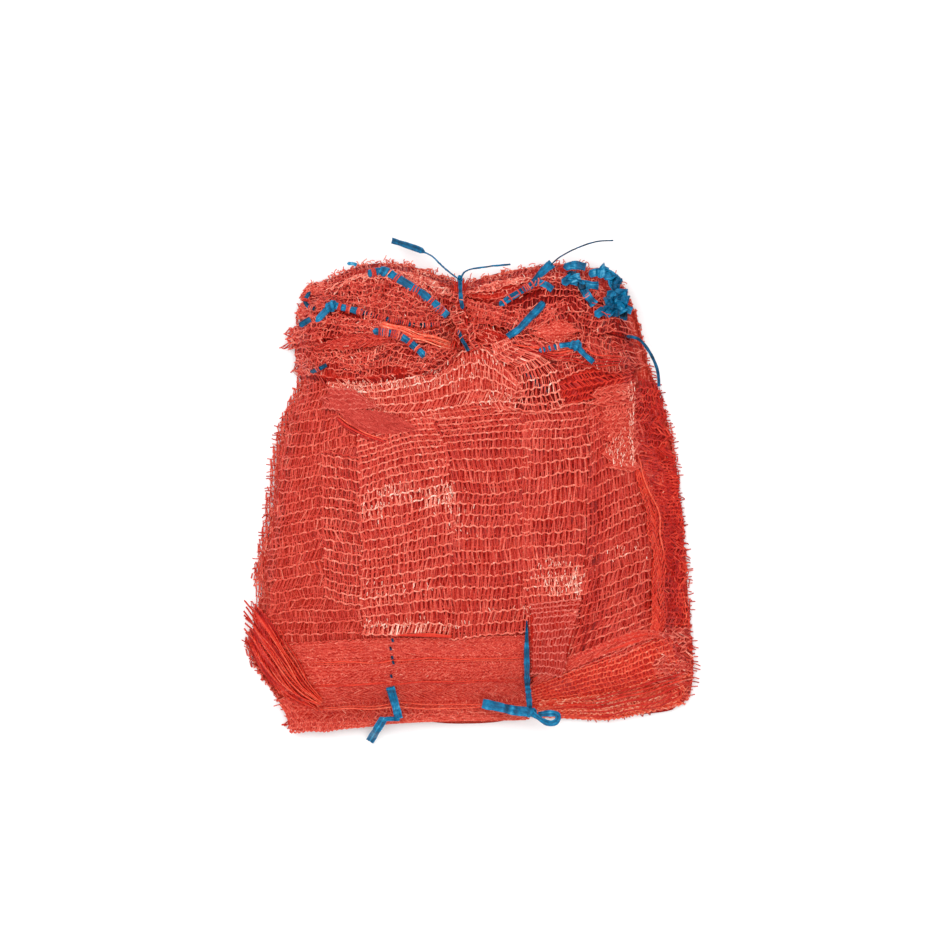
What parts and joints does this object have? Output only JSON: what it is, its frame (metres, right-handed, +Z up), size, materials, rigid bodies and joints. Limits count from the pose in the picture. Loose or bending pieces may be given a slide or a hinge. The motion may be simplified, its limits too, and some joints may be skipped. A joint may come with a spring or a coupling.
{
  "type": "net sack bundle",
  "caption": "Flat tied bundle of empty knitted net produce sacks, gathered at the neck, with draw tapes and tied tape ends.",
  "frame": {"origin": "on the table under the middle of the bundle's outline, at the centre of its flat underside", "axes": "+X to the bundle's right, +Y towards the gathered mouths, +Z up through the shown front"},
  "size_m": [0.3265, 0.3667, 0.0603],
  "materials": {
    "net": "red knitted polyethylene net in many layers, dull sheen",
    "front_net": "red knitted polyethylene net in one or two layers, soft sheen",
    "tape": "blue drawn polypropylene tape, creased and glossy"
  },
  "bodies": {
    "root": {"sack_stack": "net", "front_fold_left": "front_net", "front_fold_middle": "front_net", "front_fold_corner": "front_net", "front_fold_right": "front_net", "neck_tie": "tape", "bottom_tie_left": "tape", "bottom_tie_right": "tape", "draw_tape_ear_top": "tape", "draw_tape_ear_front": "tape", "draw_tape_ear_edge": "tape", "draw_tape_ear_low": "tape", "draw_tape_cheek": "tape", "draw_tape_right_tail": "tape", "draw_tape_right_knot": "tape", "draw_tape_right_edge": "tape", "draw_tape_right_cross": "tape", "tape_end_top": "tape", "tape_end_middle": "tape", "tape_end_arch": "tape", "tape_end_corner": "tape"}
  },
  "joints": []
}
